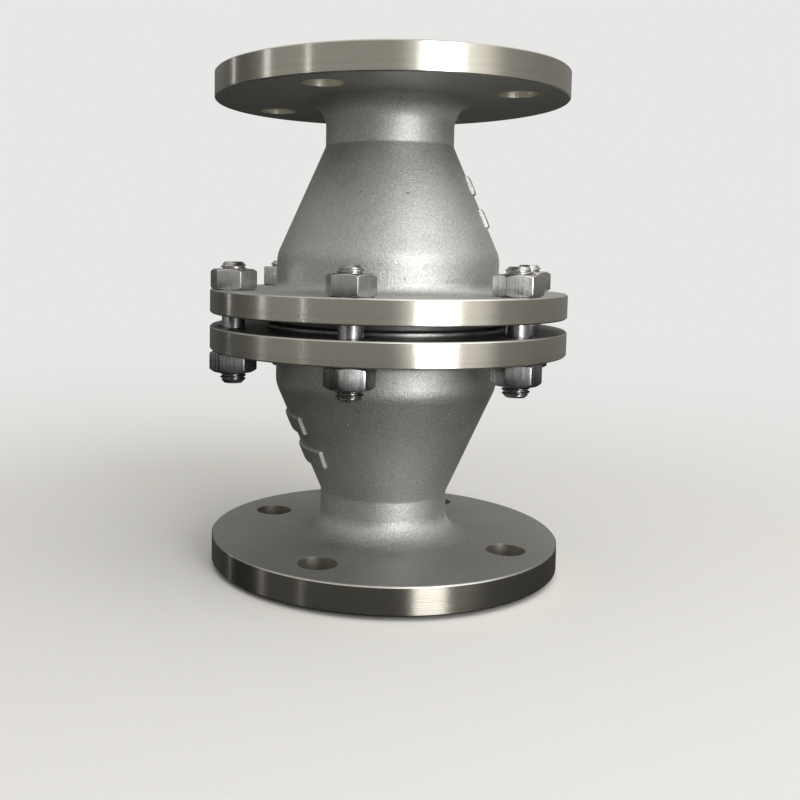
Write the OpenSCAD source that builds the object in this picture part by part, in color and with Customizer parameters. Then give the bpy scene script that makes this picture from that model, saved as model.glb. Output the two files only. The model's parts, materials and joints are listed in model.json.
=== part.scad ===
// In-line flame arrestor: two flanged castings clamp a wound crimped-ribbon element.
// The gas runs along Z. The lower pipe face stands on z = 0 and the joint is the middle plane.

/* [Pipe flanges] */
// Bore of the ports
port_d = 50; // [40:1:56]
// Circle of the flange bolts
bolt_circle_d = 125; // [118:1:140]
// Number of bolts in each pipe flange
bolt_count = 4; // [4:4:8]
// Diameter of the bolt holes
bolt_hole_d = 18; // [14:1:20]
// From the bolt circle to the flange's rim
flange_edge = 20; // [16:1:26]
// Thickness of the pipe flanges, without the raised face
flange_t = 12.4; // [10:0.2:18]
// Height of the raised sealing face
raised_face_h = 2; // [1:0.5:3]
// From the bolt holes in to the raised face
raised_face_margin = 2.5; // [1:0.5:5]
// Chamfer on the rims of the pipe flanges
flange_chamfer = 0.6; // [0.4:0.1:2]

/* [Castings] */
// Inside diameter of the chamber that holds the element
chamber_d = 94.7; // [85:0.1:105]
// Wall of the neck, cone and barrel
casting_wall = 5.15; // [4:0.05:7]
// Straight length of the barrel
barrel_h = 16.4; // [14:0.1:24]
// Height of the cone
cone_h = 51.1; // [42:0.1:65]
// Length of the neck
neck_h = 20.6; // [17:0.1:30]
// Fillet between neck and pipe flange
neck_fillet = 11.5; // [6:0.5:12]
// Blend between cone and neck
waist_blend = 3; // [1:0.5:12]
// Blend between barrel and cone
shoulder_blend = 14; // [8:0.5:18]
// Fillet between barrel and joint flange
barrel_fillet = 5; // [3:0.5:6]

/* [Joint] */
// From the barrel's wall out to the studs' axes
stud_offset = 21.5; // [20:0.5:28]
// From the studs' axes to the joint flange's rim
joint_flange_edge = 10; // [9:0.25:15]
// Thickness of the joint flanges
joint_flange_t = 11; // [8:0.5:15]
// Chamfer on the rims of the joint flanges
joint_chamfer = 0.6; // [0.4:0.1:2]
// Width of the land that takes the gasket
joint_land = 9.6; // [7:0.1:11]
// Height of that land above the joint flange
joint_land_h = 1; // [0.6:0.1:2]
// Thickness of the gaskets
gasket_t = 1; // [0.5:0.1:2]
// From the land's edge in to the gasket's edge
gasket_inset = 0.4; // [0.2:0.1:2]

/* [Studs and nuts] */
// Number of studs
stud_count = 6; // [4:1:8]
// Thread diameter of the studs
stud_d = 12; // [10:0.5:14]
// Diameter of the studs between their threads
stud_shank_d = 10.6; // [8:0.1:11.8]
// Chamfer on the ends of the studs
stud_chamfer = 1.9; // [1:0.1:2.4]
// Diameter of the holes for the studs
stud_hole_d = 13.5; // [12.5:0.5:16]
// Stud length above the upper nuts
stud_out_above = 3.3; // [2:0.1:8]
// Stud length below the lower nuts
stud_out_below = 5.1; // [2:0.1:8]
// Width across the flats of the nuts
nut_af = 19; // [17:0.5:22]
// Height of the nuts
nut_h = 9.6; // [6:0.1:12]

/* [Element] */
// Wall of the element's casing
casing_wall = 2.5; // [2:0.1:4]
// Thickness of the collar that the joint clamps
collar_t = 2; // [1.5:0.1:4]
// From the gaskets' edge in to the collar's edge
collar_inset = 3; // [0:0.1:4]
// From the end of the casing to the end of the barrel's bore
casing_end_gap = 5.3; // [2:0.1:8]
// Thickness of the grids
grid_t = 4; // [3:0.5:6]
// Depth of the seat that each grid has in the casing's wall
grid_seat = 1.2; // [0.8:0.1:1.5]
// Width of a grid's outer ring
grid_ring_w = 3; // [2:0.5:6]
// Width of a grid's spokes
grid_spoke_w = 4; // [3:0.5:8]
// Number of spokes in a grid
grid_spokes = 4; // [3:1:8]
// Diameter of a grid's hub
grid_hub_d = 20; // [18:0.5:26]
// Diameter of the rod that holds the grids together
rod_d = 8; // [6:0.5:10]
// Rod length beyond its nuts
rod_out = 2; // [1:0.5:4]
// Width across the flats of the rod's nuts
rod_nut_af = 13; // [12:0.5:16]
// Height of the rod's nuts
rod_nut_h = 6.5; // [4:0.5:8]
// Diameter of the core that the strips are wound on
core_d = 16; // [14:0.5:24]
// Thickness of the wound strips
strip_t = 0.4; // [0.2:0.05:0.6]
// Radial room for one flat and one crimped turn, before it is evened out
layer_room = 2.8; // [2.4:0.1:5]
// Length of one crimp
crimp_pitch = 4.6; // [4:0.1:8]

/* [Clearances] */
// Radial clearance between the casing and the chamber
casing_gap = 0.3; // [0.1:0.05:0.6]
// Radial clearance of a grid in its seat
grid_gap = 0.15; // [0.05:0.05:0.3]
// Radial clearance of a thread in its nut
thread_gap = 0.05; // [0.02:0.01:0.1]
// Radial clearance of the rod in the core and the grids
rod_gap = 0.15; // [0.05:0.05:0.4]
// Clearance between wound strips
strip_gap = 0.06; // [0.04:0.01:0.1]

/* [Hidden] */
$fn = 96;

// Radii of a casting
port_r = port_d / 2;
neck_r = port_r + casting_wall;
chamber_r = chamber_d / 2;
barrel_r = chamber_r + casting_wall;
bolt_circle_r = bolt_circle_d / 2;
flange_r = bolt_circle_r + flange_edge;
raised_face_r = bolt_circle_r - bolt_hole_d / 2 - raised_face_margin;
stud_circle_r = barrel_r + stud_offset;
joint_flange_r = stud_circle_r + joint_flange_edge;
land_r = chamber_r + joint_land;

// Heights above the middle plane
land_z = collar_t / 2 + gasket_t;
joint_z = land_z + joint_land_h;
nut_seat_z = joint_z + joint_flange_t;
cone_z = nut_seat_z + barrel_h;
neck_z = cone_z + cone_h;
flange_back_z = neck_z + neck_h;
rim_z = flange_back_z + flange_t;
face_z = rim_z + raised_face_h;

// The cone's lean from the axis, and the shift that keeps its wall even round both bends
cone_lean = atan((barrel_r - neck_r) / cone_h);
bend_shift = casting_wall * tan(cone_lean / 2);
chamber_end_z = cone_z - bend_shift;
port_end_z = neck_z - bend_shift;

// How far a cut runs past the face that it opens
cut_over = 1;
// Turn of the first bolt hole from the first stud
first_bolt = 45;
// How far each nut stands turned once it is tight
upper_nut_turns = [26, 51, 19, 37, 27, 37];
lower_nut_turns = [12, 15, 3, 48, 49, 39];
// Slope of the chamfer on a nut's corners, its circle as a share of the flats, and the bore's edge
nut_chamfer_slope = 30;
nut_face_share = 0.95;
nut_countersink = 0.6;
// Chamfer on the ends of the rod
rod_chamfer = 1;

// Element
casing_r = chamber_r - casing_gap;
casing_bore_r = casing_r - casing_wall;
gasket_r = land_r - gasket_inset;
collar_r = gasket_r - collar_inset;
casing_z = chamber_end_z - casing_end_gap;
pack_z = casing_z - grid_t;
rod_r = rod_d / 2;
core_r = core_d / 2;
rod_end_z = casing_z + rod_nut_h + rod_out;

// Winding: whole turns that fill the casing evenly
first_turn_r = core_r + 2 * strip_gap;
winding_room = casing_bore_r - strip_gap - strip_t - first_turn_r;
turns = floor(winding_room / layer_room);
layer_pitch = winding_room / turns;
turn_sides = 30;
side_angle = 360 / turn_sides;
crimp_rise = layer_pitch - strip_t - 2 * strip_gap;
crimp_face = strip_t * norm([crimp_rise, crimp_pitch / 2]) / (crimp_pitch / 2);
crimped_length = PI * (turns - 1) * (2 * first_turn_r + layer_pitch * (turns - 1));
crimp_steps = floor(crimped_length / (crimp_pitch / 2));

function along(angle) = [cos(angle), sin(angle)];
function polar(r, angle) = r * along(angle);
function backwards(list) = [for (i = [len(list) - 1 : -1 : 0]) list[i]];

// Radius of the winding's spiral, and of its flat sides, lifted off the spiral by a distance
function spiral_r(angle) = first_turn_r + layer_pitch * angle / 360;
function side_r(angle, lift) =
    let (
        start = side_angle * floor(angle / side_angle),
        r0 = spiral_r(start) + lift,
        r1 = spiral_r(start + side_angle) + lift,
        turned = angle - start
    )
    r0 * r1 * sin(side_angle) / (r0 * sin(turned) + r1 * sin(side_angle - turned));

// Angle at which the spiral has run a given length
function spiral_angle(length) =
    360 * (sqrt(pow(first_turn_r, 2) + layer_pitch * length / PI) - first_turn_r) / layer_pitch;

// Inner face of the crimped strip: even folds lie on one flat turn, odd folds reach the next
function fold_r(i, angle) =
    i % 2 == 0
    ? side_r(angle, strip_t + strip_gap)
    : side_r(angle + 360, 0) - strip_gap - crimp_face;

// The sliver between a corner and the arc that touches both its sides, from angle a to angle b
module corner_sliver(corner, a, b, r) {
    half = (b - a) / 2;
    reach = r / tan(half);
    difference() {
        polygon([corner, corner + polar(reach, a), corner + polar(reach, b)]);
        translate(corner + polar(r / sin(half), a + half))
            circle(r = r);
    }
}

// Half section of a casting, with the middle plane at zero
module casting_section() {
    difference() {
        polygon([
            [chamber_r, land_z],
            [land_r, land_z],
            [land_r, joint_z],
            [joint_flange_r - joint_chamfer, joint_z],
            [joint_flange_r, joint_z + joint_chamfer],
            [joint_flange_r, nut_seat_z - joint_chamfer],
            [joint_flange_r - joint_chamfer, nut_seat_z],
            [barrel_r, nut_seat_z],
            [barrel_r, cone_z],
            [neck_r, neck_z],
            [neck_r, flange_back_z],
            [flange_r - flange_chamfer, flange_back_z],
            [flange_r, flange_back_z + flange_chamfer],
            [flange_r, rim_z - flange_chamfer],
            [flange_r - flange_chamfer, rim_z],
            [raised_face_r, rim_z],
            [raised_face_r, face_z],
            [port_r, face_z],
            [port_r, port_end_z],
            [chamber_r, chamber_end_z]
        ]);
        corner_sliver([barrel_r, cone_z], 90 + cone_lean, 270, shoulder_blend);
    }
    corner_sliver([barrel_r, nut_seat_z], 0, 90, barrel_fillet);
    corner_sliver([neck_r, neck_z], cone_lean - 90, 90, waist_blend);
    corner_sliver([neck_r, flange_back_z], -90, 0, neck_fillet);
}

// A casting, standing with its joint on the middle plane and its port up
module casting() {
    difference() {
        rotate_extrude()
            casting_section();
        for (i = [0 : bolt_count - 1])
            rotate(first_bolt + i * 360 / bolt_count)
                translate([bolt_circle_r, 0, flange_back_z - cut_over])
                    cylinder(d = bolt_hole_d, h = flange_t + 2 * cut_over);
        for (i = [0 : stud_count - 1])
            rotate(i * 360 / stud_count)
                translate([stud_circle_r, 0, joint_z - cut_over])
                    cylinder(d = stud_hole_d, h = joint_flange_t + 2 * cut_over);
    }
}

module ring(outer_r, inner_r, h) {
    difference() {
        cylinder(r = outer_r, h = h);
        translate([0, 0, -cut_over])
            cylinder(r = inner_r, h = h + 2 * cut_over);
    }
}

// A hexagon nut, chamfered on both faces
module hexagon_nut(af, h, bore_r) {
    corner_r = af / 2 / cos(30);
    face_r = nut_face_share * af / 2;
    chamfer_h = (corner_r - face_r) * tan(nut_chamfer_slope);
    sunk_r = bore_r + nut_countersink;
    intersection() {
        cylinder(r = corner_r, h = h, $fn = 6);
        rotate_extrude()
            polygon([
                [sunk_r, 0],
                [face_r, 0],
                [2 * corner_r - face_r, 2 * chamfer_h],
                [2 * corner_r - face_r, h - 2 * chamfer_h],
                [face_r, h],
                [sunk_r, h],
                [bore_r, h - nut_countersink],
                [bore_r, nut_countersink]
            ]);
    }
}

// A stud bolt with its thinner shank across the joint
module stud() {
    r = stud_d / 2;
    shank_r = stud_shank_d / 2;
    top_z = nut_seat_z + nut_h + stud_out_above;
    bottom_z = -nut_seat_z - nut_h - stud_out_below;
    shank_z = joint_z + joint_flange_t / 2;
    run_out = r - shank_r;
    rotate_extrude()
        polygon([
            [0, bottom_z],
            [r - stud_chamfer, bottom_z],
            [r, bottom_z + stud_chamfer],
            [r, -shank_z],
            [shank_r, run_out - shank_z],
            [shank_r, shank_z - run_out],
            [r, shank_z],
            [r, top_z - stud_chamfer],
            [r - stud_chamfer, top_z],
            [0, top_z]
        ]);
}

// Nuts on every stud, each at its own turn
module nut_circle(turns_of_nuts) {
    for (i = [0 : stud_count - 1])
        rotate(i * 360 / stud_count)
            translate([stud_circle_r, 0, 0])
                rotate(turns_of_nuts[i % len(turns_of_nuts)] - i * 360 / stud_count)
                    hexagon_nut(nut_af, nut_h, stud_d / 2 + thread_gap);
}

module gasket() {
    ring(gasket_r, casing_r + casing_gap, gasket_t);
}

// A spoked grid, as it lies in the seat at the end of the casing
module grid() {
    outer_r = casing_bore_r + grid_seat - grid_gap;
    linear_extrude(height = grid_t)
        difference() {
            union() {
                difference() {
                    circle(r = outer_r);
                    circle(r = outer_r - grid_ring_w);
                }
                for (i = [0 : grid_spokes - 1])
                    rotate(i * 360 / grid_spokes)
                        translate([0, -grid_spoke_w / 2])
                            square([outer_r - grid_ring_w / 2, grid_spoke_w]);
                circle(d = grid_hub_d);
            }
            circle(r = rod_r + rod_gap);
        }
}

module at_middle() {
    translate([0, 0, face_z])
        children();
}

module upper_body() {
    color("#a5a7a0")
        at_middle()
            casting();
}

module lower_body() {
    color("#8c8a84")
        at_middle()
            mirror([0, 0, 1])
                casting();
}

module upper_gasket() {
    color("#1d1d1c")
        at_middle()
            translate([0, 0, collar_t / 2])
                gasket();
}

module lower_gasket() {
    color("#1d1d1c")
        at_middle()
            translate([0, 0, -collar_t / 2 - gasket_t])
                gasket();
}

// Tube with its clamped collar, and a seat for a grid at each end
module element_casing() {
    color("#8f8f8a")
        at_middle()
            rotate_extrude()
                polygon([
                    [casing_bore_r, -pack_z],
                    [casing_bore_r + grid_seat, -pack_z],
                    [casing_bore_r + grid_seat, -casing_z],
                    [casing_r, -casing_z],
                    [casing_r, -collar_t / 2],
                    [collar_r, -collar_t / 2],
                    [collar_r, collar_t / 2],
                    [casing_r, collar_t / 2],
                    [casing_r, casing_z],
                    [casing_bore_r + grid_seat, casing_z],
                    [casing_bore_r + grid_seat, pack_z],
                    [casing_bore_r, pack_z]
                ]);
}

module winding_core() {
    color("#9a9a95")
        at_middle()
            translate([0, 0, -pack_z])
                ring(core_r, rod_r + rod_gap, 2 * pack_z);
}

// Flat strip: a spiral wall with one more turn than the crimped strip
module flat_ribbon() {
    corners = [for (i = [0 : turns * turn_sides]) i * side_angle];
    inner = [for (a = corners) polar(spiral_r(a), a)];
    outer = [for (a = corners) polar(spiral_r(a) + strip_t, a)];
    color("#b4b2aa")
        at_middle()
            translate([0, 0, -pack_z])
                linear_extrude(height = 2 * pack_z)
                    polygon(concat(inner, backwards(outer)));
}

// Crimped strip: folded to and fro between one flat turn and the next
module crimped_ribbon() {
    angles = [for (i = [0 : crimp_steps]) spiral_angle(i * crimp_pitch / 2)];
    inner = [for (i = [0 : crimp_steps]) polar(fold_r(i, angles[i]), angles[i])];
    outer = [for (i = [0 : crimp_steps]) polar(fold_r(i, angles[i]) + crimp_face, angles[i])];
    color("#bdbbb3")
        at_middle()
            translate([0, 0, -pack_z])
                linear_extrude(height = 2 * pack_z)
                    polygon(concat(inner, backwards(outer)));
}

module upper_grid() {
    color("#8a8a86")
        at_middle()
            translate([0, 0, pack_z])
                grid();
}

module lower_grid() {
    color("#8a8a86")
        at_middle()
            translate([0, 0, -casing_z])
                grid();
}

// Rod through the core, with chamfered ends
module centre_rod() {
    color("#a8a8a4")
        at_middle()
            rotate_extrude()
                polygon([
                    [0, -rod_end_z],
                    [rod_r - rod_chamfer, -rod_end_z],
                    [rod_r, -rod_end_z + rod_chamfer],
                    [rod_r, rod_end_z - rod_chamfer],
                    [rod_r - rod_chamfer, rod_end_z],
                    [0, rod_end_z]
                ]);
}

module rod_nuts() {
    color("#b0afaa")
        at_middle()
            for (seat_z = [casing_z, -casing_z - rod_nut_h])
                translate([0, 0, seat_z])
                    hexagon_nut(rod_nut_af, rod_nut_h, rod_r + thread_gap);
}

module studs() {
    color("#9c9b96")
        at_middle()
            for (i = [0 : stud_count - 1])
                rotate(i * 360 / stud_count)
                    translate([stud_circle_r, 0, 0])
                        stud();
}

module upper_nuts() {
    color("#b3b1aa")
        at_middle()
            translate([0, 0, nut_seat_z])
                nut_circle(upper_nut_turns);
}

module lower_nuts() {
    color("#b3b1aa")
        at_middle()
            translate([0, 0, -nut_seat_z - nut_h])
                nut_circle(lower_nut_turns);
}

upper_body();
lower_body();
upper_gasket();
lower_gasket();
element_casing();
winding_core();
flat_ribbon();
crimped_ribbon();
upper_grid();
lower_grid();
centre_rod();
rod_nuts();
studs();
upper_nuts();
lower_nuts();
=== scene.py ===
"""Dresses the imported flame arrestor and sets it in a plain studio.

The file is laid out as an add-on. Lengths are metres in the CAD part's own frame: the pipe's axis is Z,
the lower pipe face stands on z = 0 and the joint between the two castings is the middle plane.
"""

import json
import math

import bpy
import numpy as np
from bpy.props import FloatProperty, FloatVectorProperty, PointerProperty
from mathutils import Matrix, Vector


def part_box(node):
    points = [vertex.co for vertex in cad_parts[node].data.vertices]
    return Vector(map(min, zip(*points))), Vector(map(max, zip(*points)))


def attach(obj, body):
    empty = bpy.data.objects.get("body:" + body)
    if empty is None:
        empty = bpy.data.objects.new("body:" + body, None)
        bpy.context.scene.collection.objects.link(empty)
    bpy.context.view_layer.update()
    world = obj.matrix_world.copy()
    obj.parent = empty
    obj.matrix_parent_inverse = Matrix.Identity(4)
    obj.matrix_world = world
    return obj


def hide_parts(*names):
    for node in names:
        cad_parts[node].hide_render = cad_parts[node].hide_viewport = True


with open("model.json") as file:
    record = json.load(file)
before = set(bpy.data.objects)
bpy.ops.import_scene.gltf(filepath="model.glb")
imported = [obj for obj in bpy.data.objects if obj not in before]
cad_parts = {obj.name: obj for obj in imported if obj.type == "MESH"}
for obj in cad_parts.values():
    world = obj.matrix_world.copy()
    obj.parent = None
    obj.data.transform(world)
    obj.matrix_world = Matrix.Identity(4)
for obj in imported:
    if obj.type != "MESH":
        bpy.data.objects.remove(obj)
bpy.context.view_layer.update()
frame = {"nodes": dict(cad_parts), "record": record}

bl_info = {
    "name": "Flame Arrestor Finish",
    "version": (1, 0, 0),
    "blender": (4, 5, 0),
    "location": "View3D > Sidebar > Arrestor",
    "description": "Threads, nuts, cast marks, finishes and a studio for a flame arrestor",
    "category": "Add Mesh",
}

MM = 0.001
TAU = 2 * math.pi

# Studs in the joint, the length of thread that shows at a bar's ends, and the turn of the thread's start
# from one stud to the next
STUD_COUNT = 6
STUD_THREAD = 8.5 * MM
ROD_THREAD = 5 * MM
THREAD_START = 1.7

# Edges of new pieces that are sharper than this stay sharp, and vertices this near to a bar's or nut's end
# belong to its end face
SHARP_ANGLE = math.radians(35)
END_DEPTH = 0.05 * MM

# Cast strips: heights of the two rows above the middle plane, and how far round each strip reaches
MARK_HEIGHTS = (48 * MM, 63.2 * MM)
UPPER_MARKS = (math.radians(46), math.radians(46))
LOWER_MARKS = (math.radians(46), math.radians(67))

# The photograph's own camera, solved from the flange rims. Its image is 800 pixels square.
PHOTO_PX = 800
FOCAL_PX = 970.5
CENTRE_PX = (319.2, 323.1)
SENSOR_MM = 36
CAMERA_DISTANCE = 0.4651
CAMERA_HEIGHT = 0.1491
CAMERA_TURN = math.radians(-18.8)
CAMERA_AIM = math.radians(3.955)
CAMERA_PITCH = math.radians(4.29)
CAMERA_ROLL = math.radians(0.84)
CLIP_START = 0.01

# Lights, turned to the right of the camera. A size is width and height. A strip light has its turn in
# degrees, its width and its share of the strips' power.
WINDOW_TURN = math.radians(29.5)
WINDOW_DISTANCE, WINDOW_HEIGHT = 1.0, 0.32
WINDOW_SIZE = (0.35, 0.64)
GLOW_TURN = WINDOW_TURN + math.radians(9.5)
STRIP_LIGHTS = ((-50, 0.018, 0.5), (-80, 0.1, 0.85), (-114, 0.03, 0.55))
STRIP_DISTANCE, STRIP_HEIGHT, STRIP_LENGTH = 1.2, 0.5, 0.9
CEILING_TURN = math.radians(50)
CEILING_DISTANCE, CEILING_HEIGHT = 0.75, 1.25
CEILING_SIZE = (1.4, 1.2)
CEILING_LEAN = math.radians(36)


def node_points(node):
    """Vertices of a CAD node, one row each."""
    vertices = frame["nodes"][node].data.vertices
    points = np.empty(3 * len(vertices), np.float32)
    vertices.foreach_get("co", points)
    return points.reshape(-1, 3).astype(float)


def stud_axes():
    """Axis of each stud as x and y: the middle of the box round the stud's own vertices."""
    points = node_points("studs")
    step = TAU / STUD_COUNT
    places = np.round(np.arctan2(points[:, 1], points[:, 0]) / step) % STUD_COUNT
    axes = []
    for place in range(STUD_COUNT):
        own = points[places == place, :2]
        axes.append((own.min(axis=0) + own.max(axis=0)) / 2)
    return np.array(axes)


def points_round(node, axis, reach):
    """Vertices of a node that lie within reach of an upright axis, moved so that the axis is at zero."""
    points = node_points(node)
    points[:, :2] -= axis
    return points[np.hypot(points[:, 0], points[:, 1]) < reach]


def casting_rings():
    """Height above the middle plane and largest radius of each ring of vertices on the upper casting."""
    points = node_points("upper_body")
    heights = np.round(points[:, 2] - MIDDLE, 5)
    radii = np.hypot(points[:, 0], points[:, 1])
    return [(float(h), float(radii[heights == h].max())) for h in np.unique(heights)]


def widest_ring(low, high):
    """Widest of the casting's rings between two heights. On the cone it lies on the outside."""
    return max((ring for ring in RINGS if low < ring[0] < high), key=lambda ring: ring[1])


# Heights above the middle plane and radii of the castings, measured on the CAD nodes. The bounds that are
# shares of the half height only say where to look for a ring.
MIDDLE = float(np.mean([corner[2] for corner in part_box("element_casing")]))
HALF_HEIGHT = float(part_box("upper_body")[1][2]) - MIDDLE
NUT_SEAT = float(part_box("upper_nuts")[0][2]) - MIDDLE
RIM_DEPTH, SEAT_SLACK = 3 * MM, 0.1 * MM
RINGS = casting_rings()
PIPE_RIM = widest_ring(0.9 * HALF_HEIGHT, HALF_HEIGHT)[1]
PIPE_RINGS = [ring for ring in RINGS if ring[1] > PIPE_RIM - RIM_DEPTH and ring[0] > 0.5 * HALF_HEIGHT]
PIPE_BACK, PIPE_CHAMFER = PIPE_RINGS[0]
PIPE_FRONT = PIPE_RINGS[-1][0]
JOINT_CHAMFER = widest_ring(NUT_SEAT - SEAT_SLACK, NUT_SEAT + SEAT_SLACK)[1]
JOINT_RIM = widest_ring(0, NUT_SEAT)[1]
JOINT_FACE = min(ring[0] for ring in RINGS if ring[1] > JOINT_RIM - RIM_DEPTH)
CONE_LOW = widest_ring(0.3 * HALF_HEIGHT, 0.38 * HALF_HEIGHT)
CONE_HIGH = widest_ring(0.6 * HALF_HEIGHT, 0.65 * HALF_HEIGHT)
STUD_AXES = stud_axes()
STUD_REACH = float(np.linalg.norm(STUD_AXES[0] - STUD_AXES[1])) / 2
BOLTS = next(m for m in frame["record"]["mounts"] if m["name"] == "upper_flange_bolts")
BOLT_OFFSET = BOLTS["dims"]["pcd_mm"] * MM / 2 * math.sqrt(0.5)
BOLT_HOLE = BOLTS["dims"]["hole_r_mm"] * MM


class ArrestorFasteners(bpy.types.PropertyGroup):
    """Threads and nuts."""

    stud_pitch: FloatProperty(
        name="Stud pitch", description="Pitch of the studs' thread", default=0.00175, unit="LENGTH")
    stud_depth: FloatProperty(
        name="Stud thread depth", description="From crest to root of the studs' thread",
        default=0.00095, unit="LENGTH")
    rod_pitch: FloatProperty(
        name="Rod pitch", description="Pitch of the grid rod's thread", default=0.00125, unit="LENGTH")
    rod_depth: FloatProperty(
        name="Rod thread depth", description="From crest to root of the grid rod's thread",
        default=0.0007, unit="LENGTH")
    corner_round: FloatProperty(
        name="Corner round", description="Radius on the upright corners of the nuts",
        default=0.0005, unit="LENGTH")
    edge_round: FloatProperty(
        name="Edge round", description="Width of the worn edge between a nut's flats and its chamfer",
        default=0.0003, unit="LENGTH")


class ArrestorCastMarks(bpy.types.PropertyGroup):
    """Blank raised strips that the foundry leaves on each cone."""

    stand: FloatProperty(
        name="Stand", description="Height of a strip above the cone", default=0.0015, unit="LENGTH")
    sink: FloatProperty(
        name="Sink", description="Depth of a strip's root in the cone's wall", default=0.001, unit="LENGTH")
    width: FloatProperty(
        name="Width", description="Width of a strip along the cone's slope", default=0.0092, unit="LENGTH")
    draft: FloatProperty(
        name="Draft", description="Length of the slope at a strip's ends", default=0.0007, unit="LENGTH")
    upper_turn: FloatProperty(
        name="Upper turn", description="Turn of the upper strips' middle from +X",
        default=math.radians(-12), subtype="ANGLE")
    lower_turn: FloatProperty(
        name="Lower turn", description="Turn of the lower strips' middle from +X",
        default=math.radians(173), subtype="ANGLE")


class ArrestorFinishes(bpy.types.PropertyGroup):
    """Colours and textures of the metals and the gasket."""

    cast_colour: FloatVectorProperty(
        name="Casting", description="Blasted casting", default=(0.555, 0.56, 0.545), subtype="COLOR",
        min=0, max=1)
    turned_colour: FloatVectorProperty(
        name="Turned steel", description="Rims, faces, core and grids",
        default=(0.66, 0.635, 0.565), subtype="COLOR", min=0, max=1)
    fastener_colour: FloatVectorProperty(
        name="Fasteners", description="Studs, nuts and the grid rod", default=(0.6, 0.59, 0.59),
        subtype="COLOR", min=0, max=1)
    ribbon_colour: FloatVectorProperty(
        name="Ribbons", description="Rolled strip of the element", default=(0.68, 0.67, 0.64),
        subtype="COLOR", min=0, max=1)
    # Painted shade: the casing's colour is darkened for the shade inside the joint's gap
    casing_colour: FloatVectorProperty(
        name="Casing", description="Dull tube and collar round the element", default=(0.2, 0.2, 0.195),
        subtype="COLOR", min=0, max=1)
    gasket_colour: FloatVectorProperty(
        name="Gasket", description="Sealing rings at the joint", default=(0.02, 0.02, 0.02),
        subtype="COLOR", min=0, max=1)
    grain: FloatProperty(
        name="Grain", description="Size of the blasted surface's grain", default=0.0008, unit="LENGTH")
    turning_pitch: FloatProperty(
        name="Turning pitch", description="Spacing of the lathe's lines", default=0.00025, unit="LENGTH")


class ArrestorStudio(bpy.types.PropertyGroup):
    """Floor, backdrop and lights."""

    floor_colour: FloatVectorProperty(
        name="Floor", description="Pale floor", default=(0.8, 0.79, 0.77), subtype="COLOR", min=0, max=1)
    floor_bounce: FloatVectorProperty(
        name="Floor bounce", description="The floor as the part sees it", default=(0.055, 0.053, 0.049),
        subtype="COLOR", min=0, max=1)
    backdrop_colour: FloatVectorProperty(
        name="Backdrop", description="What the camera sees above the floor", default=(0.8, 0.8, 0.79),
        subtype="COLOR", min=0, max=1)
    room_light: FloatProperty(
        name="Room", description="Light of the room's walls", default=0.34, min=0)
    window_power: FloatProperty(
        name="Window", description="Power of the large soft box", default=5.4, min=0, subtype="POWER")
    ceiling_power: FloatProperty(
        name="Ceiling", description="Power of the overhead panel", default=5, min=0, subtype="POWER")
    strip_power: FloatProperty(
        name="Strips", description="Power that the narrow strip lights have shares of", default=0.3, min=0,
        subtype="POWER")


def loops_mesh(name, loops, ring=False):
    """Mesh from stacks of closed loops, an array of (pieces, rows, columns, xyz).

    Quads join neighbouring rows. A ring's last row joins its first; otherwise the end rows are filled.
    Rows that run upwards with columns counter-clockwise point outwards.
    """
    pieces, rows, columns, _ = loops.shape
    index = np.arange(pieces * rows * columns).reshape(pieces, rows, columns)
    below = index if ring else index[:, :-1]
    above = np.roll(index, -1, axis=1) if ring else index[:, 1:]
    corners = (below, np.roll(below, -1, axis=2), np.roll(above, -1, axis=2), above)
    faces = np.stack(corners, axis=-1).reshape(-1, 4).tolist()
    if not ring:
        faces += index[:, 0, ::-1].tolist() + index[:, -1].tolist()
    mesh = bpy.data.meshes.new(name)
    mesh.from_pydata(loops.reshape(-1, 3).tolist(), [], faces)
    mesh.shade_smooth()
    mesh.set_sharp_from_angle(angle=SHARP_ANGLE)
    return mesh


def add_piece(mesh, material, slot, *replaced):
    """Puts a mesh into the scene as a piece that rides on the part and stands for the replaced nodes."""
    piece = bpy.data.objects.new(mesh.name, mesh)
    bpy.context.scene.collection.objects.link(piece)
    mesh.materials.append(material)
    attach(piece, "root")
    if replaced:
        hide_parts(*replaced)


def dress(node, material):
    """Gives a CAD node that stays in view its finish."""
    for slot in frame["nodes"][node].material_slots:
        slot.material = material


def thread_radius(angle, height, crest_r, depth, pitch):
    """Radius of a single-start thread: a triangle wave of height / pitch - angle / turn, cut flat at crest
    and root."""
    crest_share, root_share = 0.16, 0.2
    phase = height / pitch - angle / TAU
    wave = 2 * np.abs(phase - np.round(phase))
    flank = np.clip((wave - crest_share) / (1 - crest_share - root_share), 0, 1)
    return crest_r - depth * flank


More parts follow.
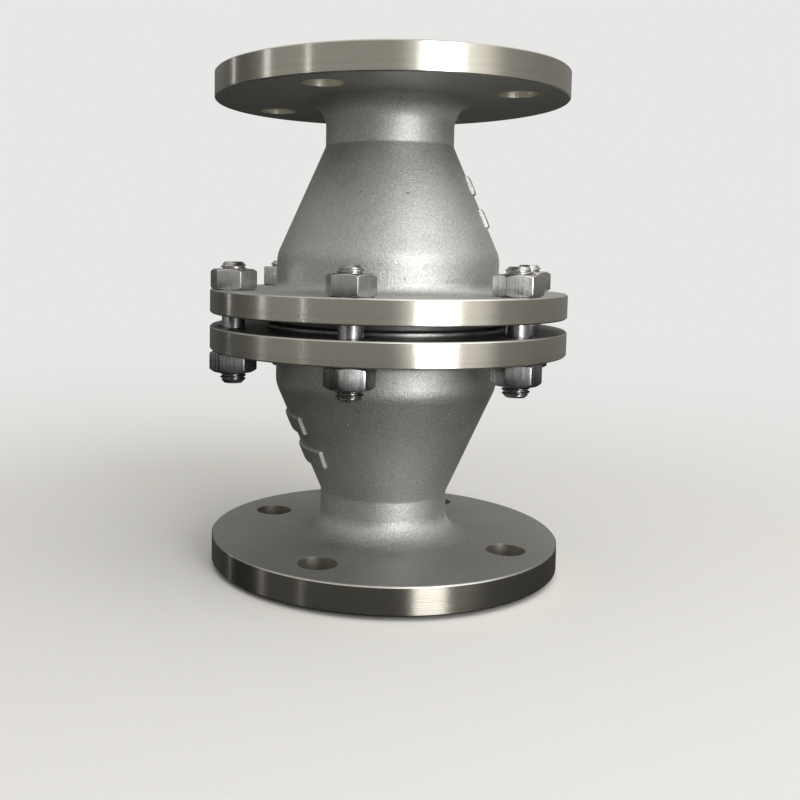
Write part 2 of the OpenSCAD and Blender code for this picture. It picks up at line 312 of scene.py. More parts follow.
def threaded_bar(points, pitch, depth, seen, turn):
    """Loops of a round bar with a thread on both ends, measured on the CAD bar's vertices.

    Along the bar the radius is the least of the thread, a 45 degree cone at each end and, between the
    threads, the shank where the CAD bar has one. Rows are close only over the length `seen` at each end.
    """
    steps_per_pitch, columns = 14, 48
    core_share, least_neck = 0.5, 0.1 * MM
    heights = points[:, 2]
    radii = np.hypot(points[:, 0], points[:, 1])
    low, high = heights.min(), heights.max()
    end_r = radii[heights > high - END_DEPTH].max()
    crest_r = radii.max()
    from_end = np.minimum(heights - low, high - heights)
    shank = (from_end > seen) & (radii > core_share * crest_r) & (radii < crest_r - least_neck)

    thread = np.arange(0, seen, pitch / steps_per_pitch)
    between = np.zeros(0)
    if shank.any():
        shank_r = radii[shank].max()
        run_out = crest_r - shank_r
        start, stop = heights[shank].min(), heights[shank].max()
        between = np.array((start - run_out, start, stop, stop + run_out))
    rows = np.concatenate((low + thread, between, (high - thread)[::-1]))[:, None]
    angles = np.linspace(0, TAU, columns, endpoint=False)[None, :]
    r = thread_radius(angles - turn, rows, crest_r, depth, pitch)
    r = np.minimum(r, end_r + np.minimum(rows - low, high - rows))
    if shank.any():
        r = np.where((rows > between[0]) & (rows < between[-1]), shank_r, r)
    return np.stack((r * np.cos(angles), r * np.sin(angles), rows + 0 * r), axis=-1)


def nut_loops(points, corner_round, edge_round):
    """Loops of a hexagon nut, measured on the CAD nut's vertices and turned as it is.

    Seen along its axis the nut is a hexagon whose corners are arcs. Each face ends in a 30 degree cone that
    starts inside the flats, so its lower edge rises and falls with the hexagon's radius.
    """
    sides, per_flat, crowding = 6, 18, 2.5
    face_share, brow_share, slope = 0.95, 0.3, math.tan(math.radians(30))
    half_flat_turn = math.pi / sides
    heights = points[:, 2]
    radii = np.hypot(points[:, 0], points[:, 1])
    low, high = heights.min(), heights.max()
    corner = points[np.argmax(radii)]
    half_flat = radii.max() * math.cos(half_flat_turn)
    bore_r = radii.min()
    sunk_r = radii[heights > high - END_DEPTH].min()
    face_r = face_share * half_flat

    # Angle from the middle of a flat, crowded towards the corners
    t = np.linspace(-1, 1, per_flat, endpoint=False)
    from_flat = half_flat_turn * np.sign(t) * (1 - (1 - np.abs(t)) ** crowding)
    to_corner = half_flat_turn - np.abs(from_flat)
    arc_middle = (half_flat - corner_round) / math.cos(half_flat_turn)
    arc_reach = np.maximum(corner_round ** 2 - (arc_middle * np.sin(to_corner)) ** 2, 0)
    arc_start = (half_flat - corner_round) * math.tan(half_flat_turn)
    on_arc = half_flat * np.tan(np.abs(from_flat)) > arc_start
    hexagon = np.where(on_arc, arc_middle * np.cos(to_corner) + np.sqrt(arc_reach),
                       half_flat / np.cos(from_flat))
    first_flat = math.atan2(corner[1], corner[0]) + half_flat_turn
    flats = first_flat + TAU / sides * np.arange(sides)[:, None]
    angles = (flats + from_flat).ravel()
    hexagon = np.tile(hexagon, sides)

    def drop(r):
        """How far the cone has fallen below the nut's face at a radius."""
        return np.maximum(r - face_r, 0) * slope

    even = np.ones_like(hexagon)
    edge = hexagon - edge_round
    brow = hexagon - brow_share * edge_round
    middle = (edge + face_r) / 2
    half = [
        (hexagon, drop(hexagon) + edge_round),
        (brow, drop(brow) + brow_share * edge_round),
        (edge, drop(edge)),
        (middle, drop(middle)),
        (face_r * even, 0 * even),
        (sunk_r * even, 0 * even),
        (bore_r * even, (sunk_r - bore_r) * even),
    ]
    upper = [(r, high - fall) for r, fall in half]
    lower = [(r, low + fall) for r, fall in half[::-1]]
    rows = [np.stack((r * np.cos(angles), r * np.sin(angles), z), axis=-1) for r, z in lower + upper]
    return np.stack(rows)


def moved(loops, axis):
    """Loops carried from the origin to an upright axis."""
    return loops + np.array((axis[0], axis[1], 0))


def signed_power(value, power):
    """A value's size raised to a power, with its sign kept."""
    return np.sign(value) * np.abs(value) ** power


def cone_lean():
    """Lean of the cone's wall from the axis."""
    (low, wide), (high, narrow) = CONE_LOW, CONE_HIGH
    return math.atan2(wide - narrow, high - low)


def cone_radius(height):
    """Radius of the cone's wall at a height above the middle plane."""
    low, wide = CONE_LOW
    return wide - (height - low) * math.tan(cone_lean())


def strip_loops(middle_height, turn, spread, sizes, upwards):
    """Loops of a blank cast strip: a superellipsoid bent round the cone.

    u runs round the cone and t round the strip's section, a squared-off oval of the strip's width whose
    upper half stands on the cone and whose lower half is sunk in its wall. Both shrink to nothing at the
    ends, the upper half on a straight slope, as a pattern maker's draft. u stops just short of 1, so that the
    end loops stay open.
    """
    rows, columns, squareness, end_power, reach = 49, 32, 5, 40, 0.995
    u = np.sin(np.linspace(-1, 1, rows) * math.pi / 2 * reach)[:, None]
    t = np.linspace(0, TAU, columns, endpoint=False)[None, :]
    end = (1 - np.abs(u) ** end_power) ** (1 / end_power)
    along = end * sizes.width / 2 * signed_power(np.cos(t), 2 / squareness)
    lift = signed_power(np.sin(t), 2 / squareness)
    half_length = spread / 2 * cone_radius(middle_height)
    slope = np.clip((1 - np.abs(u)) * half_length / sizes.draft, 0, 1)
    lift = np.where(lift > 0, slope * sizes.stand, end * sizes.sink) * lift
    lean = cone_lean()
    height = middle_height + along * math.cos(lean) + lift * math.sin(lean)
    radius = cone_radius(middle_height) - along * math.sin(lean) + lift * math.cos(lean)
    angle = turn + spread / 2 * u
    side = 1 if upwards else -1
    z = MIDDLE + side * height + 0 * angle
    loops = np.stack((radius * np.cos(angle), radius * np.sin(angle), z), axis=-1)
    return loops if upwards else loops[:, ::-1]


def feed(tree, socket, value):
    """Links an input to another node's output, or sets its value."""
    if isinstance(value, bpy.types.NodeSocket):
        tree.links.new(value, socket)
    else:
        socket.default_value = value


def put(tree, kind, inputs=None, **settings):
    """Adds a node. An input's value is a number, a vector or another node's output."""
    node = tree.nodes.new(kind)
    for name, value in settings.items():
        setattr(node, name, value)
    for name, value in (inputs or {}).items():
        feed(tree, node.inputs[name], value)
    return node


def maths(tree, operation, *values):
    """Output of a Math node."""
    return put(tree, "ShaderNodeMath", dict(enumerate(values)), operation=operation).outputs[0]


def vectors(tree, operation, *values):
    """Output of a Vector Math node: a number where the operation measures, otherwise a vector."""
    node = put(tree, "ShaderNodeVectorMath", dict(enumerate(values)), operation=operation)
    return node.outputs["Value" if operation in ("LENGTH", "DISTANCE", "DOT_PRODUCT") else "Vector"]


def stepped(tree, value, start, end):
    """Smooth step from 0 to 1 between two values, or from 1 to 0 where the start is the larger."""
    inputs = {"Value": value, "From Min": start, "From Max": end}
    if start > end:
        inputs = {"Value": value, "From Min": end, "From Max": start, "To Min": 1.0, "To Max": 0.0}
    return put(tree, "ShaderNodeMapRange", inputs, interpolation_type="SMOOTHSTEP").outputs["Result"]


def mixed(tree, share, first, second):
    """Number between two numbers by a share. They are inputs 2 and 3 of a Mix node."""
    return put(tree, "ShaderNodeMix", {"Factor": share, 2: first, 3: second}, data_type="FLOAT").outputs[0]


def tinted(tree, share, first, second, blend="MIX"):
    """Colour between two colours by a share. They are inputs 6 and 7 of a Mix node."""
    node = put(tree, "ShaderNodeMix", {"Factor": share}, data_type="RGBA", blend_type=blend)
    for socket, value in zip(node.inputs[6:8], (first, second)):
        feed(tree, socket, value if isinstance(value, bpy.types.NodeSocket) else (*value, 1))
    return node.outputs[2]


def toned(tree, colour, tone):
    """Colour multiplied by a number."""
    grey = put(tree, "ShaderNodeCombineColor", {"Red": tone, "Green": tone, "Blue": tone}).outputs[0]
    return tinted(tree, 1.0, colour, grey, "MULTIPLY")


def dimmed(colour, share):
    """A fixed colour with less light."""
    return [share * part for part in colour]


def noise(tree, vector, scale, detail, **more):
    """Output of a Noise Texture node, around 0.5."""
    inputs = {"Vector": vector, "Scale": scale, "Detail": detail}
    inputs.update({label.capitalize(): value for label, value in more.items()})
    return put(tree, "ShaderNodeTexNoise", inputs).outputs[0]


def height_of(tree, place):
    """Height of a place above the floor."""
    return put(tree, "ShaderNodeSeparateXYZ", {"Vector": place}).outputs["Z"]


def from_axis(tree, place):
    """A place with its height left out, and its distance from the Z axis."""
    flat = vectors(tree, "MULTIPLY", place, (1.0, 1.0, 0.0))
    return flat, vectors(tree, "LENGTH", flat)


def new_group(name, inputs, outputs):
    """A shader node group with number inputs and outputs, and a vector input named Vector."""
    group = bpy.data.node_groups.new(name, "ShaderNodeTree")
    group.interface.new_socket(name="Vector", in_out="INPUT", socket_type="NodeSocketVector")
    for label in inputs:
        group.interface.new_socket(name=label, in_out="INPUT", socket_type="NodeSocketFloat")
    for label in outputs:
        group.interface.new_socket(name=label, in_out="OUTPUT", socket_type="NodeSocketFloat")
    start = group.nodes.new("NodeGroupInput")
    end = group.nodes.new("NodeGroupOutput")
    return group, start.outputs, end.inputs


def grain_group():
    """Blasted casting: fine grain over soft lumps, with broad patches and a few pits.

    Height is in metres. Tone is 1 on average and darker in the pits.
    """
    lump_scale, patch_scale, pit_scale = 0.16, 0.03, 0.17
    pit_rarity, pit_rim, pit_floor = 0.86, 0.16, 0.03
    lump_height, pit_depth = 0.9, 1.8
    least_tone, fine_tone, patch_tone, pit_tone = 0.4, 0.9, 0.3, 0.35
    group, given, result = new_group("grain_group", ("Grain", "Relief"), ("Height", "Tone"))
    place = given["Vector"]
    fineness = maths(group, "DIVIDE", 1.0, given["Grain"])
    fine = noise(group, place, fineness, 2.0, roughness=0.55)
    lumps = noise(group, place, maths(group, "MULTIPLY", fineness, lump_scale), 2.0)
    patches = noise(group, place, maths(group, "MULTIPLY", fineness, patch_scale), 3.0)
    cells = put(group, "ShaderNodeTexVoronoi",
                {"Vector": place, "Scale": maths(group, "MULTIPLY", fineness, pit_scale)}).outputs
    rarity = put(group, "ShaderNodeSeparateColor", {"Color": cells["Color"]}).outputs[0]
    chosen = maths(group, "GREATER_THAN", rarity, pit_rarity)
    pit = maths(group, "MULTIPLY", stepped(group, cells["Distance"], pit_rim, pit_floor), chosen)
    relief = maths(group, "MULTIPLY_ADD", lumps, lump_height, fine)
    relief = maths(group, "MULTIPLY_ADD", pit, -pit_depth, relief)
    group.links.new(maths(group, "MULTIPLY", relief, given["Relief"]), result["Height"])
    tone = maths(group, "MULTIPLY_ADD", fine, fine_tone, least_tone)
    tone = maths(group, "MULTIPLY_ADD", patches, patch_tone, tone)
    group.links.new(maths(group, "MULTIPLY_ADD", pit, -pit_tone, tone), result["Tone"])
    return group


def lathe_group():
    """Lathe lines round the Z axis: noise in one dimension, along the sum of height and radius.

    On a rim the radius is even, and on a face the height is, so the lines run round both.
    """
    broad_scale = 0.12
    least_tone, fine_tone, broad_tone = 0.87, 0.14, 0.12
    group, given, result = new_group("lathe_group", ("Pitch", "Relief"), ("Height", "Tone"))
    radius = from_axis(group, given["Vector"])[1]
    height = height_of(group, given["Vector"])
    across = maths(group, "DIVIDE", maths(group, "ADD", height, radius), given["Pitch"])
    fine, broad = (
        put(group, "ShaderNodeTexNoise", {"W": across, "Scale": scale, "Detail": 1.0},
            noise_dimensions="1D").outputs[0]
        for scale in (1.0, broad_scale))
    group.links.new(maths(group, "MULTIPLY", fine, given["Relief"]), result["Height"])
    tone = maths(group, "MULTIPLY_ADD", fine, fine_tone, least_tone)
    group.links.new(maths(group, "MULTIPLY_ADD", broad, broad_tone, tone), result["Tone"])
    return group


def handling_group():
    """Handling: cloudy smears that vary how dull a metal is. Smear runs from 0 to 1."""
    clean, smeared_over = 0.35, 0.7
    group, given, result = new_group("handling_group", ("Size",), ("Smear",))
    scale = maths(group, "DIVIDE", 1.0, given["Size"])
    cloud = noise(group, given["Vector"], scale, 4.0, distortion=0.6)
    group.links.new(stepped(group, cloud, clean, smeared_over), result["Smear"])
    return group


def shared_group(build):
    """A node group, built the first time that it is asked for and named after its function."""
    return bpy.data.node_groups.get(build.__name__) or build()


def place_group(tree, build, vector, **values):
    """Puts a shared group into a material with its own values and gives its outputs."""
    inputs = {"Vector": vector, **{label.capitalize(): value for label, value in values.items()}}
    return put(tree, "ShaderNodeGroup", inputs, node_tree=shared_group(build)).outputs


def smeared(tree, place, size, least, more):
    """Roughness from least upwards, with more where handling has smeared the metal."""
    smear = place_group(tree, handling_group, place, size=size)["Smear"]
    return maths(tree, "MULTIPLY_ADD", smear, more, least)


def new_material(name, **constants):
    """A material with one Principled shader, its constants set, and the part's own coordinates."""
    material = bpy.data.materials.new(name)
    material.use_nodes = True
    tree = material.node_tree
    shader = tree.nodes["Principled BSDF"]
    for label, value in constants.items():
        shader.inputs[label.replace("_", " ").title()].default_value = value
    place = put(tree, "ShaderNodeTexCoord").outputs["Object"]
    return material, tree, shader, place


def connect(tree, shader, colour, roughness, height):
    """Feeds a shader's colour and roughness, and its normal from a height in metres."""
    bump = put(tree, "ShaderNodeBump", {"Height": height, "Strength": 1.0, "Distance": 1.0})
    tree.links.new(colour, shader.inputs["Base Color"])
    tree.links.new(roughness, shader.inputs["Roughness"])
    tree.links.new(bump.outputs["Normal"], shader.inputs["Normal"])


def casting_material(finishes):
    """Blasted casting with turned rims and faces and drilled bolt holes, told apart by their place."""
    # Widths of the zones' edges, and depths below the back of a pipe flange
    soft, margin = 0.15 * MM, 1 * MM
    back_shade_starts = 8 * MM
    fillet_starts, fillet_full, fillet_fades, fillet_ends = 11 * MM, 6 * MM, 3 * MM, 0.5 * MM
    material, tree, shader, place = new_material("blasted_casting", metallic=1.0)
    flat, radius = from_axis(tree, place)
    height = maths(tree, "ABSOLUTE", maths(tree, "SUBTRACT", height_of(tree, place), MIDDLE))

    in_pipe_flange = stepped(tree, height, PIPE_BACK - margin, PIPE_BACK - soft)
    in_joint_flange = stepped(tree, height, NUT_SEAT + margin, NUT_SEAT + soft)
    pipe_rim = maths(tree, "MULTIPLY", stepped(tree, radius, PIPE_CHAMFER, PIPE_RIM), in_pipe_flange)
    joint_rim = maths(tree, "MULTIPLY", stepped(tree, radius, JOINT_CHAMFER, JOINT_RIM), in_joint_flange)
    pipe_face = stepped(tree, height, PIPE_FRONT - margin, PIPE_FRONT - margin + soft)
    turned = maths(tree, "MAXIMUM", maths(tree, "MAXIMUM", pipe_rim, joint_rim), pipe_face)

    # The four bolt holes fall on one another where x and y lose their signs
    folded = vectors(tree, "ABSOLUTE", flat)
    from_hole = vectors(tree, "DISTANCE", folded, (BOLT_OFFSET, BOLT_OFFSET, 0.0))
    in_hole = stepped(tree, from_hole, BOLT_HOLE + 2 * soft, BOLT_HOLE + soft)
    drilled = maths(tree, "MULTIPLY", in_hole, in_pipe_flange)
    machined = maths(tree, "MAXIMUM", turned, drilled)

    # The pipe flanges' backs are as cast, and painted shade makes them, and the tops of the fillets below
    # them, darker than the cones.
    # The faces in the joint's gap also get painted shade and are smoother, while the fillets below the
    # flanges are the roughest.
    back = stepped(tree, height, PIPE_BACK - back_shade_starts, PIPE_BACK - margin)
    back = maths(tree, "MAXIMUM", maths(tree, "SUBTRACT", back, machined), 0.0)
    # Faces in the joint's gap, which get painted shade and less roughness
    gap = stepped(tree, height, JOINT_FACE + 2 * soft, JOINT_FACE + soft)
    fillet = maths(tree, "MULTIPLY",
                   stepped(tree, height, PIPE_BACK - fillet_starts, PIPE_BACK - fillet_full),
                   stepped(tree, height, PIPE_BACK - fillet_ends, PIPE_BACK - fillet_fades))

    back_shade_tone, gap_shade_tone = 0.62, 0.6
    cast_rough, fillet_rough, gap_rough, turned_rough, drilled_rough = 0.53, 0.7, 0.3, 0.145, 0.34
    grain = place_group(tree, grain_group, place, grain=finishes.grain, relief=0.15 * MM)
    lathe = place_group(tree, lathe_group, place, pitch=finishes.turning_pitch, relief=0.012 * MM)
    # Painted shade: the flanges' backs and the joint's gap take a darkened copy of the casting's colour
    colour = tinted(tree, back, finishes.cast_colour, dimmed(finishes.cast_colour, back_shade_tone))
    colour = tinted(tree, gap, colour, dimmed(finishes.cast_colour, gap_shade_tone))
    colour = tinted(tree, machined, colour, finishes.turned_colour)
    colour = toned(tree, colour, mixed(tree, machined, grain["Tone"], lathe["Tone"]))
    cast_dull = mixed(tree, gap, mixed(tree, fillet, cast_rough, fillet_rough), gap_rough)
    cast_dull = smeared(tree, place, size=0.03, least=cast_dull, more=0.06)
    turned_dull = smeared(tree, place, size=0.03, least=turned_rough, more=0.03)
    roughness = mixed(tree, drilled, mixed(tree, machined, cast_dull, turned_dull), drilled_rough)
    connect(tree, shader, colour, roughness, mixed(tree, machined, grain["Height"], lathe["Height"]))
    return material


def turned_material(finishes):
    """Turned stainless of the element's core and grids. Highlights stretch across the lathe's lines."""
    material, tree, shader, place = new_material(
        "turned_stainless", metallic=1.0, anisotropic=0.5, anisotropic_rotation=0.25)
    tangent = put(tree, "ShaderNodeTangent", direction_type="RADIAL", axis="Z")
    tree.links.new(tangent.outputs[0], shader.inputs["Tangent"])
    lathe = place_group(tree, lathe_group, place, pitch=finishes.turning_pitch, relief=0.01 * MM)
    colour = toned(tree, finishes.turned_colour, lathe["Tone"])
    roughness = smeared(tree, place, size=0.02, least=0.27, more=0.1)
    connect(tree, shader, colour, roughness, lathe["Height"])
    return material


def casing_material(finishes):
    """Dull steel of the element's casing, its colour painted dark for the shade that it lies in within the
    joint's gap.
    """
    material, tree, shader, place = new_material("dull_shaded_casing", metallic=1.0)
    grain = place_group(tree, grain_group, place, grain=0.6 * MM, relief=0.03 * MM)
    colour = toned(tree, finishes.casing_colour, grain["Tone"])
    roughness = smeared(tree, place, size=0.02, least=0.5, more=0.1)
    connect(tree, shader, colour, roughness, grain["Height"])
    return material


def ribbon_material(finishes):
    """Bright rolled strip with a faint grain."""
    material, tree, shader, place = new_material("rolled_strip", metallic=1.0)
    grain = place_group(tree, grain_group, place, grain=2 * MM, relief=0.004 * MM)
    colour = toned(tree, finishes.ribbon_colour, grain["Tone"])
    roughness = smeared(tree, place, size=0.008, least=0.22, more=0.12)
    connect(tree, shader, colour, roughness, grain["Height"])
    return material


def fastener_material(finishes):
    """Bright stainless fasteners with fine upright scratches, and painted shade that makes them darker below
    the joint than above it.
    """
    fineness, stretch, relief = 1000.0, (1.0, 1.0, 0.03), 0.025 * MM
    scratched, unmarked = 0.38, 0.56
    scratch_tone_above, scratch_tone_shaded = 0.86, 0.26
    clear_tone_above, clear_tone_shaded = 1.0, 0.58
    scratch_rough, clear_rough = 0.34, 0.22
    material, tree, shader, place = new_material("bright_fastener", metallic=1.0)
    drawn = put(tree, "ShaderNodeMapping", {"Vector": place, "Scale": stretch}).outputs[0]
    scratches = noise(tree, drawn, fineness, 3.0, roughness=0.65)
    clear = stepped(tree, scratches, scratched, unmarked)
    # Painted shade: below the joint the fasteners' tones are darkened
    below = stepped(tree, height_of(tree, place), MIDDLE + NUT_SEAT, MIDDLE - NUT_SEAT)
    scratch_tone = mixed(tree, below, scratch_tone_above, scratch_tone_shaded)
    clear_tone = mixed(tree, below, clear_tone_above, clear_tone_shaded)
    colour = toned(tree, finishes.fastener_colour, mixed(tree, clear, scratch_tone, clear_tone))
    roughness = mixed(tree, clear, scratch_rough, clear_rough)
    roughness = smeared(tree, place, size=0.006, least=roughness, more=0.08)
    connect(tree, shader, colour, roughness, maths(tree, "MULTIPLY", scratches, relief))
    return material


def shared_fastener_material(context):
    """The fasteners' material, made once."""
    known = bpy.data.materials.get("bright_fastener")
    return known or fastener_material(context.scene.arrestor_finishes)


def gasket_material(finishes):
    """Dull black sealing sheet, duller where its grain is light."""
    least_rough, grain_rough = 0.7, 0.1
    material, tree, shader, place = new_material("gasket_sheet")
    grain = place_group(tree, grain_group, place, grain=0.5 * MM, relief=0.02 * MM)
    colour = toned(tree, finishes.gasket_colour, grain["Tone"])
    roughness = maths(tree, "MULTIPLY_ADD", grain["Tone"], grain_rough, least_rough)
    connect(tree, shader, colour, roughness, grain["Height"])
    return material


class ARRESTOR_OT_castings(bpy.types.Operator):
    """Finishes the two castings"""

    bl_idname = "arrestor.castings"
    bl_label = "Castings"

    def execute(self, context):
        material = casting_material(context.scene.arrestor_finishes)
        for node in ("upper_body", "lower_body"):
            dress(node, material)
        return {"FINISHED"}


class ARRESTOR_OT_cast_marks(bpy.types.Operator):
    """Adds the blank cast strips to the cones, in two rows on each"""

    bl_idname = "arrestor.cast_marks"
    bl_label = "Cast marks"

    def execute(self, context):
        sizes = context.scene.arrestor_cast_marks
        material = frame["nodes"]["upper_body"].material_slots[0].material
        castings = (
            ("upper_cast_marks", sizes.upper_turn, UPPER_MARKS, True),
            ("lower_cast_marks", sizes.lower_turn, LOWER_MARKS, False),
        )
        for name, turn, spreads, upwards in castings:
            strips = [strip_loops(height, turn, spread, sizes, upwards)
                      for height, spread in zip(MARK_HEIGHTS, spreads)]
            add_piece(loops_mesh(name, np.stack(strips)), material, "cast_stainless")
        return {"FINISHED"}


class ARRESTOR_OT_element(bpy.types.Operator):
    """Finishes the wound element, its casing, grids and gaskets"""

    bl_idname = "arrestor.element"
    bl_label = "Element"

    def execute(self, context):
        finishes = context.scene.arrestor_finishes
        groups = (
            (casing_material(finishes), ("element_casing",)),
            (turned_material(finishes), ("winding_core", "upper_grid", "lower_grid")),
            (ribbon_material(finishes), ("flat_ribbon", "crimped_ribbon")),
            (gasket_material(finishes), ("upper_gasket", "lower_gasket")),
        )
        for material, nodes in groups:
            for node in nodes:
                dress(node, material)
        return {"FINISHED"}


class ARRESTOR_OT_studs(bpy.types.Operator):
    """Makes the threaded studs"""

    bl_idname = "arrestor.studs"
    bl_label = "Studs"

    def execute(self, context):
        sizes = context.scene.arrestor_fasteners
        bars = []
        for place, axis in enumerate(STUD_AXES):
            points = points_round("studs", axis, STUD_REACH)
            start = THREAD_START * place
            bar = threaded_bar(points, sizes.stud_pitch, sizes.stud_depth, STUD_THREAD, start)
            bars.append(moved(bar, axis))
        mesh = loops_mesh("threaded_studs", np.stack(bars))
        add_piece(mesh, shared_fastener_material(context), "fastener_stainless", "studs")
        return {"FINISHED"}


class ARRESTOR_OT_nuts(bpy.types.Operator):
    """Makes the hexagon nuts above and below the joint"""

    bl_idname = "arrestor.nuts"
    bl_label = "Nuts"

    def execute(self, context):
        sizes = context.scene.arrestor_fasteners
        for node, name in (("upper_nuts", "upper_hexagon_nuts"), ("lower_nuts", "lower_hexagon_nuts")):
            nuts = []
            for axis in STUD_AXES:
                points = points_round(node, axis, STUD_REACH)
                nuts.append(moved(nut_loops(points, sizes.corner_round, sizes.edge_round), axis))
            mesh = loops_mesh(name, np.stack(nuts), ring=True)
            add_piece(mesh, shared_fastener_material(context), "fastener_stainless", node)
        return {"FINISHED"}


class ARRESTOR_OT_grid_rod(bpy.types.Operator):
    """Makes the threaded rod that holds the grids, with its nuts"""

    bl_idname = "arrestor.grid_rod"
    bl_label = "Grid rod"

    def execute(self, context):
        sizes = context.scene.arrestor_fasteners
        material = shared_fastener_material(context)
        bar = threaded_bar(node_points("centre_rod"), sizes.rod_pitch, sizes.rod_depth, ROD_THREAD, 0)
        add_piece(loops_mesh("threaded_rod", bar[None]), material, "fastener_stainless", "centre_rod")
        points = node_points("rod_nuts")
        pair = [points[points[:, 2] > MIDDLE], points[points[:, 2] < MIDDLE]]
        nuts = [nut_loops(own, sizes.corner_round, sizes.edge_round) for own in pair]
        mesh = loops_mesh("rod_hexagon_nuts", np.stack(nuts), ring=True)
        add_piece(mesh, material, "fastener_stainless", "rod_nuts")
        return {"FINISHED"}


def beside_camera(turn, distance, height):
    """Place round the part, at a turn to the right of the camera."""
    angle = CAMERA_TURN + turn - math.pi / 2
    return distance * math.cos(angle), distance * math.sin(angle), height


def photo_camera():
    """Camera of the photograph: as far off, turned, tilted and shifted as it was."""
    data = bpy.data.cameras.new("photo_camera")
    data.sensor_width = SENSOR_MM
    data.lens = FOCAL_PX * SENSOR_MM / PHOTO_PX
    data.shift_x = 0.5 - CENTRE_PX[0] / PHOTO_PX
    data.shift_y = CENTRE_PX[1] / PHOTO_PX - 0.5
    data.clip_start = CLIP_START
    camera = bpy.data.objects.new("photo_camera", data)
    camera.matrix_world = (
        Matrix.Translation(beside_camera(0, CAMERA_DISTANCE, CAMERA_HEIGHT))
        @ Matrix.Rotation(CAMERA_TURN + CAMERA_AIM, 4, "Z")
        @ Matrix.Rotation(math.pi / 2 - CAMERA_PITCH, 4, "X")
        @ Matrix.Rotation(CAMERA_ROLL, 4, "Z")
    )
    bpy.context.scene.collection.objects.link(camera)
    bpy.context.scene.camera = camera


def soft_light(name, turn, distance, height, size, power):
    """Area light aimed at the part's axis, at a turn to the right of the camera."""
    data = bpy.data.lights.new(name, "AREA")
    data.shape = "RECTANGLE"
    data.size, data.size_y = size
    data.energy = power
    light = bpy.data.objects.new(name, data)
    light.location = beside_camera(turn, distance, height)
    light.rotation_euler = (math.pi / 2, 0, CAMERA_TURN + turn)
    light.visible_camera = False
    bpy.context.scene.collection.objects.link(light)
    return light


def room_world(studio):
    """Room round the part: a pale backdrop for the camera, and for the rest walls and a ceiling.

    The walls are brightest on the camera's side and glow beside the window. They are darker far to the left,
    and low at the left of the far end. The ceiling is lighter to the right. Each step runs between two
    cosines of the angle from an axis.
    """
    warm_white = (1.0, 0.98, 0.93, 1.0)
    far_wall, dark_left, dark_far, glow = 0.7, 0.5, 0.4, 2.2
    left_ceiling, right_ceiling = 1.3, 2.6
    world = bpy.data.worlds.new("room")
    world.use_nodes = True
    bpy.context.scene.world = world
    tree = world.node_tree
    tree.nodes.clear()
    direction = put(tree, "ShaderNodeTexCoord").outputs["Generated"]
    to_camera = vectors(tree, "DOT_PRODUCT", direction, beside_camera(0, 1.0, 0.0))
    to_left = vectors(tree, "DOT_PRODUCT", direction, beside_camera(-math.pi / 2, 1.0, 0.0))
    to_glow = vectors(tree, "DOT_PRODUCT", direction, beside_camera(GLOW_TURN, 1.0, 0.0))
    upwards = vectors(tree, "DOT_PRODUCT", direction, (0.0, 0.0, 1.0))

    walls = mixed(tree, stepped(tree, to_camera, -0.4, 0.5), far_wall, 1.0)
    left_end = maths(tree, "MULTIPLY",
                     stepped(tree, to_left, 0.6, 0.95), stepped(tree, to_camera, 0.3, -0.2))
    walls = maths(tree, "MULTIPLY", walls, mixed(tree, left_end, 1.0, dark_left))
    far_end = maths(tree, "MULTIPLY",
                    stepped(tree, to_left, -0.1, 0.25), stepped(tree, to_camera, -0.4, -0.6))
    far_end = maths(tree, "MULTIPLY", far_end, stepped(tree, upwards, 0.25, 0.1))
    walls = maths(tree, "MULTIPLY", walls, mixed(tree, far_end, 1.0, dark_far))
    walls = maths(tree, "MULTIPLY_ADD", stepped(tree, to_glow, 0.8, 0.98), glow, walls)
    ceiling = mixed(tree, stepped(tree, to_left, 0.2, -0.6), left_ceiling, right_ceiling)
    light = maths(tree, "MULTIPLY_ADD", stepped(tree, upwards, 0.35, 0.85), ceiling, walls)
    light = maths(tree, "MULTIPLY", light, studio.room_light)
    room = put(tree, "ShaderNodeBackground", {"Color": warm_white, "Strength": light})
    backdrop = put(tree, "ShaderNodeBackground", {"Color": (*studio.backdrop_colour, 1.0), "Strength": 1.0})
    seen = put(tree, "ShaderNodeLightPath").outputs["Is Camera Ray"]
    both = put(tree, "ShaderNodeMixShader", {0: seen, 1: room.outputs[0], 2: backdrop.outputs[0]})
    put(tree, "ShaderNodeOutputWorld", {"Surface": both.outputs[0]})


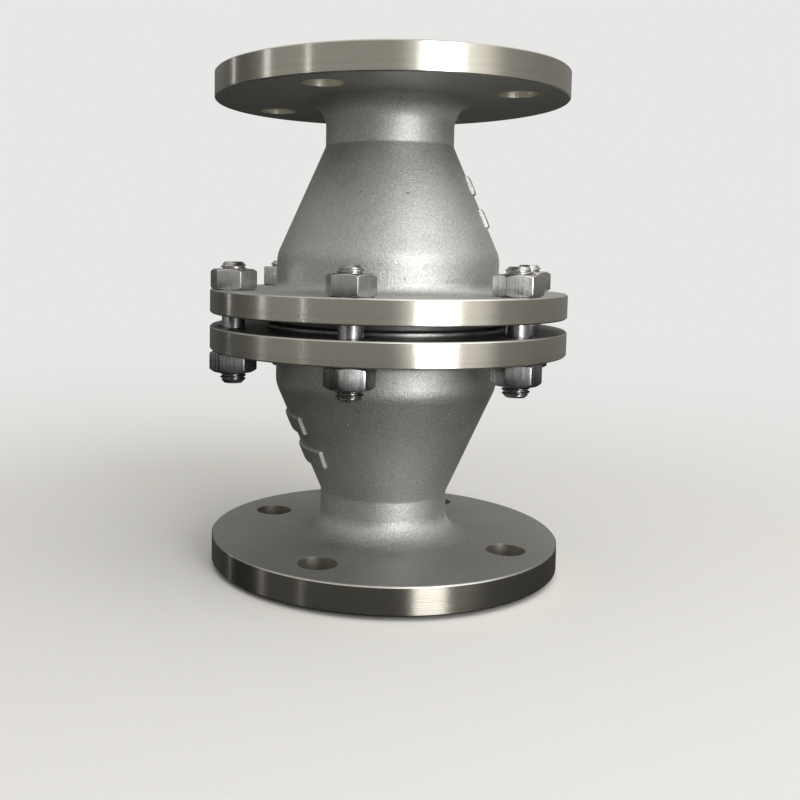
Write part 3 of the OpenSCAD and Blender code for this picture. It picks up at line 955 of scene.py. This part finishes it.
def pale_floor(studio):
    """Round floor: one flat loop, filled.

    Far off, and below the window, it fades into the backdrop. To the part it is a dark polished table, so
    that little light comes up from below and the lowest rim still shows the window.
    """
    reach, columns = 30.0, 96
    fade_near, fade_far = 0.22, 1.6
    foot_outside, foot_inside = 0.95, 0.45
    table_end, table_gone, far_bounce = 0.4, 1.0, (0.5, 0.5, 0.49)
    table_rough, floor_rough = 0.12, 0.7
    angles = np.linspace(0, TAU, columns, endpoint=False)
    rim = np.stack((reach * np.cos(angles), reach * np.sin(angles), 0 * angles), axis=-1)
    mesh = bpy.data.meshes.new("floor")
    mesh.from_pydata(rim.tolist(), [], [list(range(columns))])
    material, tree, shader, place = new_material("pale_floor")
    seen = put(tree, "ShaderNodeLightPath").outputs["Is Camera Ray"]
    away = vectors(tree, "LENGTH", place)
    bounce = tinted(tree, stepped(tree, away, table_end, table_gone), studio.floor_bounce, far_bounce)
    tree.links.new(tinted(tree, seen, bounce, studio.floor_colour), shader.inputs["Base Color"])
    tree.links.new(mixed(tree, seen, 1.0, 0.0), shader.inputs["Metallic"])
    tree.links.new(mixed(tree, seen, table_rough, floor_rough), shader.inputs["Roughness"])
    faded = stepped(tree, maths(tree, "DIVIDE", 1.0, away), 1 / fade_near, 1 / fade_far)
    from_foot = vectors(tree, "DISTANCE", place, beside_camera(WINDOW_TURN, WINDOW_DISTANCE, 0.0))
    faded = maths(tree, "MAXIMUM", faded, stepped(tree, from_foot, foot_outside, foot_inside))
    faded = maths(tree, "MULTIPLY", faded, seen)
    backdrop = put(tree, "ShaderNodeEmission", {"Color": (*studio.backdrop_colour, 1.0)})
    both = put(tree, "ShaderNodeMixShader", {0: faded, 1: shader.outputs[0], 2: backdrop.outputs[0]})
    tree.links.new(both.outputs[0], tree.nodes["Material Output"].inputs["Surface"])
    mesh.materials.append(material)
    floor = bpy.data.objects.new("floor", mesh)
    bpy.context.scene.collection.objects.link(floor)


class ARRESTOR_OT_stage(bpy.types.Operator):
    """Sets the camera, the pale floor, the room and the lights"""

    bl_idname = "arrestor.stage"
    bl_label = "Stage"

    def execute(self, context):
        studio = context.scene.arrestor_studio
        context.scene.view_settings.view_transform = "Standard"
        photo_camera()
        room_world(studio)
        pale_floor(studio)
        soft_light("window", WINDOW_TURN, WINDOW_DISTANCE, WINDOW_HEIGHT, WINDOW_SIZE, studio.window_power)
        for turn, width, share in STRIP_LIGHTS:
            soft_light(f"strip_{-turn}", math.radians(turn), STRIP_DISTANCE, STRIP_HEIGHT,
                       (width, STRIP_LENGTH), share * studio.strip_power)
        ceiling = soft_light("ceiling", CEILING_TURN, CEILING_DISTANCE, CEILING_HEIGHT, CEILING_SIZE,
                             studio.ceiling_power)
        ceiling.rotation_euler.x = CEILING_LEAN
        return {"FINISHED"}


class ARRESTOR_PT_panel(bpy.types.Panel):
    """Sizes, finishes and steps of the flame arrestor"""

    bl_idname = "ARRESTOR_PT_panel"
    bl_label = "Flame arrestor"
    bl_space_type = "VIEW_3D"
    bl_region_type = "UI"
    bl_category = "Arrestor"

    def draw(self, context):
        for name in GROUPS:
            box = self.layout.box()
            settings = getattr(context.scene, name)
            for label in settings.__annotations__:
                box.prop(settings, label)
        for step in STEPS:
            self.layout.operator(step.bl_idname)


GROUPS = {
    "arrestor_fasteners": ArrestorFasteners,
    "arrestor_cast_marks": ArrestorCastMarks,
    "arrestor_finishes": ArrestorFinishes,
    "arrestor_studio": ArrestorStudio,
}
STEPS = (
    ARRESTOR_OT_castings,
    ARRESTOR_OT_cast_marks,
    ARRESTOR_OT_element,
    ARRESTOR_OT_studs,
    ARRESTOR_OT_nuts,
    ARRESTOR_OT_grid_rod,
    ARRESTOR_OT_stage,
)


def register():
    """Adds the settings, the steps and the panel."""
    for name, group in GROUPS.items():
        bpy.utils.register_class(group)
        setattr(bpy.types.Scene, name, PointerProperty(type=group))
    for step in (*STEPS, ARRESTOR_PT_panel):
        bpy.utils.register_class(step)


def unregister():
    """Takes the panel, the steps and the settings away again."""
    for step in (ARRESTOR_PT_panel, *STEPS[::-1]):
        bpy.utils.unregister_class(step)
    for name, group in GROUPS.items():
        delattr(bpy.types.Scene, name)
        bpy.utils.unregister_class(group)


def main():
    """Runs every step in order."""
    register()
    for step in STEPS:
        family, name = step.bl_idname.split(".")
        getattr(getattr(bpy.ops, family), name)()


if __name__ == "__main__":
    main()
